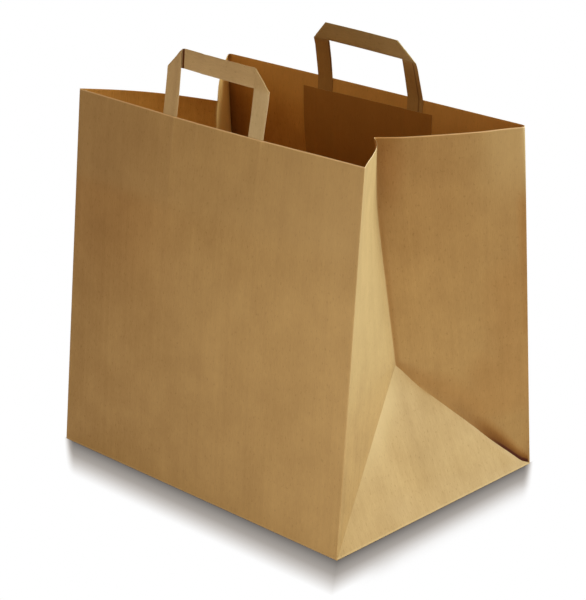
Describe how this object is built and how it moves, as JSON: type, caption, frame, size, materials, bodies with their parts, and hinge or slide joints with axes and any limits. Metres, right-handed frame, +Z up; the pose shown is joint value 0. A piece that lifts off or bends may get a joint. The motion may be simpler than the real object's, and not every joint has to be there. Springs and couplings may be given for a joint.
{
  "type": "paper carrier bag",
  "caption": "Open brown kraft paper carrier bag with a block bottom, side gussets folded inwards and flat paper handles glued inside the rim.",
  "frame": {"origin": "middle of the base, on the surface that the bag stands on", "axes": "+Z up towards the rim and handles, +X to the right along the front panel, +Y from the front panel to the back panel"},
  "size_m": [0.32, 0.2401, 0.3561],
  "materials": {
    "kraft_body": "matte",
    "kraft_handle": "matte",
    "kraft_patch": "matte"
  },
  "bodies": {
    "root": {"bag_body": "kraft_body", "front_handle": "kraft_handle", "rear_handle": "kraft_handle", "front_handle_patch": "kraft_patch", "rear_handle_patch": "kraft_patch"}
  },
  "joints": []
}
